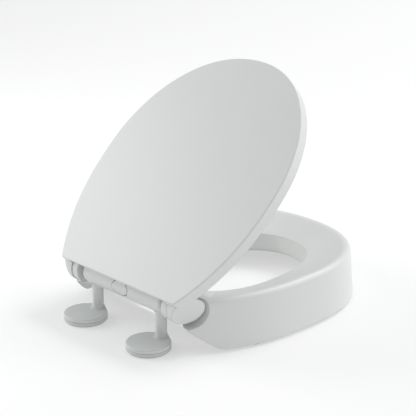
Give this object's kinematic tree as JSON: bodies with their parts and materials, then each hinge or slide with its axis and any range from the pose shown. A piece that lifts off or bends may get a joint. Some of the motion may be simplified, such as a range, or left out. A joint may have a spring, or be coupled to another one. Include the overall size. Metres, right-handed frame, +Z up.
{
  "type": "raised toilet seat",
  "caption": "Raised toilet seat with a deep skirted ring and a hinged lid, on a quick-release hinge bar whose posts stand on round fixing discs.",
  "frame": {"origin": "midway between the fixing bolts, on the plane of the bowl's rim", "axes": "+X right as seen from the front, -Y the front, +Z up"},
  "size_m": [0.3624, 0.4523, 0.3604],
  "materials": {
    "shell": "satin gloss",
    "hinge": "satin gloss",
    "disc": "satin gloss",
    "button": "satin gloss",
    "base": "fine texture",
    "pad": "matt",
    "bumper": "matt",
    "steel": "brushed",
    "spring": "drawn wire",
    "damper": "fine texture",
    "acetal": "smooth"
  },
  "bodies": {
    "hinge_base": {"button_spring": "spring", "hinge_bar_cover": "hinge", "hinge_bar_screws": "steel", "hinge_bar_shell": "hinge", "left_disc_base": "base", "left_disc_cap": "disc", "left_disc_pad": "pad", "left_latch_spring": "spring", "left_mounting_pin": "steel", "lid_damper_housing": "damper", "pin_screws": "steel", "right_disc_base": "base", "right_disc_cap": "disc", "right_disc_pad": "pad", "right_latch_spring": "spring", "right_mounting_pin": "steel", "seat_damper_housing": "damper"},
    "seat": {"seat_shell": "shell", "seat_underside_cover": "shell", "seat_cover_screws": "steel", "right_seat_bumper_rear": "bumper", "right_seat_bumper_front": "bumper", "left_seat_bumper_rear": "bumper", "left_seat_bumper_front": "bumper", "seat_damper_shaft": "steel", "seat_knuckle_bush": "acetal"},
    "lid": {"lid_shell": "shell", "right_lid_bumper_rear": "bumper", "right_lid_bumper_front": "bumper", "left_lid_bumper_rear": "bumper", "left_lid_bumper_front": "bumper", "lid_damper_shaft": "steel", "lid_ear_bush": "acetal"},
    "release_button": {"release_button": "button"},
    "right_latch": {"right_latch_slider": "acetal"},
    "left_latch": {"left_latch_slider": "acetal"}
  },
  "joints": [
    {"name": "seat_hinge", "type": "hinge", "parent": "hinge_base", "child": "seat", "pos_m": [0, -0.0243, 0.0679], "axis": [-1, 0, 0], "range_deg": [0, 50]},
    {"name": "lid_hinge", "type": "hinge", "parent": "seat", "child": "lid", "pos_m": [0, -0.0243, 0.0679], "axis": [-1, 0, 0], "range_deg": [-44, 51]},
    {"name": "button_slide", "type": "slide", "parent": "hinge_base", "child": "release_button", "axis": [0, -1, 0], "range_m": [0, 0.004], "stiffness_N_per_m": 400, "springref_m": -0.004, "deforming": ["button_spring"]},
    {"name": "right_latch_slide", "type": "slide", "parent": "hinge_base", "child": "right_latch", "axis": [1, 0, 0], "range_m": [0, 0.004], "deforming": ["right_latch_spring"]},
    {"name": "left_latch_slide", "type": "slide", "parent": "hinge_base", "child": "left_latch", "axis": [-1, 0, 0], "range_m": [0, 0.004], "deforming": ["left_latch_spring"]}
  ],
  "couplings": [
    {"joint": "right_latch_slide", "follows": "button_slide", "ratio": 1},
    {"joint": "left_latch_slide", "follows": "button_slide", "ratio": 1}
  ]
}
